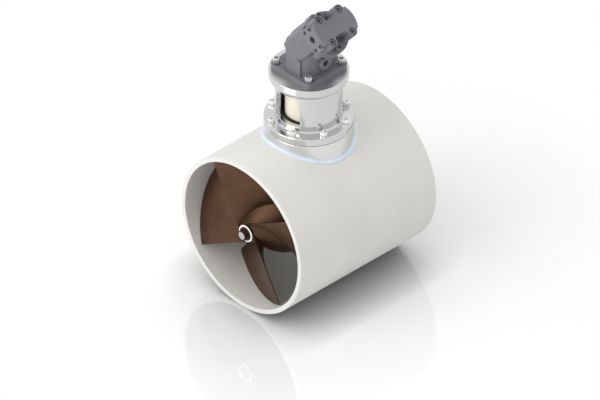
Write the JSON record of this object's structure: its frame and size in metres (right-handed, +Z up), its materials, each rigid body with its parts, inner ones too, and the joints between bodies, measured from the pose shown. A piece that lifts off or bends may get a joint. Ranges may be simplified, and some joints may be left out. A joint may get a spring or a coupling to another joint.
{
  "type": "underwater tunnel thruster",
  "caption": "Tunnel thruster: a bladed propeller and its gear housing inside a short hull tunnel, driven through a flexible coupling by a bent-axis hydraulic motor on top.",
  "frame": {"origin": "where the propeller's axis crosses the drive shaft's axis, in the middle of the tunnel", "axes": "+X along the tunnel, from the propeller's end to the tail; +Z up the drive shaft to the motor; +Y away from the side that the motor bends to"},
  "size_m": [0.466, 0.4238, 0.8143],
  "materials": {
    "gelcoat": "satin white gelcoat",
    "sealant": "pale blue, smooth",
    "polished_steel": "turned and polished",
    "screw_steel": "stainless, satin",
    "propeller_bronze": "dull brown cast bronze",
    "leg_bronze": "dull cast bronze",
    "motor_paint": "dark grey paint over casting",
    "black_iron": "blackened",
    "nylon": "cream, smooth",
    "shaft_steel": "ground steel",
    "gear_steel": "hardened, oiled",
    "bearing_steel": "ground and polished",
    "seal_rubber": "black",
    "gasket_sheet": "grey sheet"
  },
  "bodies": {
    "housing": {"tunnel_tube": "gelcoat", "saddle_sealant": "sealant", "saddle_seat": "polished_steel", "leg_screws": "screw_steel", "bell_gasket": "gasket_sheet", "bell_housing": "polished_steel", "bell_flange_screws": "screw_steel", "gear_leg": "leg_bronze", "leg_gasket": "gasket_sheet", "front_carrier": "leg_bronze", "carrier_screws": "screw_steel", "propeller_seal": "seal_rubber", "housing_o_rings": "seal_rubber", "tail_cap": "leg_bronze", "tail_cap_screws": "screw_steel", "drain_plug": "screw_steel", "front_bearing_outer": "bearing_steel", "rear_bearing_outer": "bearing_steel", "lower_bearing_outer": "bearing_steel", "upper_bearing_outer": "bearing_steel", "motor_bearing_outer": "bearing_steel", "bearing_cartridge": "shaft_steel", "cartridge_screws": "screw_steel", "bearing_snap_ring": "bearing_steel", "drive_seal": "seal_rubber", "motor_seal": "seal_rubber", "motor_housing": "motor_paint", "motor_end_cap": "motor_paint", "motor_end_cap_screws": "motor_paint", "motor_mount_screws": "screw_steel", "motor_mount_washers": "screw_steel"},
    "drive_line": {"drive_shaft": "shaft_steel", "bevel_pinion": "gear_steel", "pinion_key": "shaft_steel", "pinion_retainer": "shaft_steel", "pinion_screw": "screw_steel", "drive_spacer": "shaft_steel", "drive_shaft_nut": "shaft_steel", "lower_coupling_hub": "black_iron", "coupling_sleeve": "nylon", "upper_coupling_hub": "black_iron", "hub_keys": "shaft_steel", "motor_shaft": "shaft_steel", "lower_bearing_inner": "bearing_steel", "upper_bearing_inner": "bearing_steel", "motor_bearing_inner": "bearing_steel"},
    "propeller_line": {"propeller_shaft": "shaft_steel", "seal_sleeve": "shaft_steel", "gear_spacer": "shaft_steel", "gear_key": "shaft_steel", "bevel_gear": "gear_steel", "rear_bearing_nut": "shaft_steel", "propeller_key": "shaft_steel", "propeller": "propeller_bronze", "propeller_washer": "screw_steel", "propeller_nut": "propeller_bronze", "front_bearing_inner": "bearing_steel", "rear_bearing_inner": "bearing_steel"}
  },
  "joints": [
    {"name": "propeller_spin", "type": "hinge", "parent": "housing", "child": "propeller_line", "pos_m": [0, 0, 0], "axis": [1, 0, 0], "continuous": true},
    {"name": "drive_spin", "type": "hinge", "parent": "housing", "child": "drive_line", "pos_m": [0, 0, 0], "axis": [0, 0, 1], "continuous": true}
  ],
  "couplings": [
    {"joint": "drive_spin", "follows": "propeller_spin", "ratio": 1.7333}
  ]
}
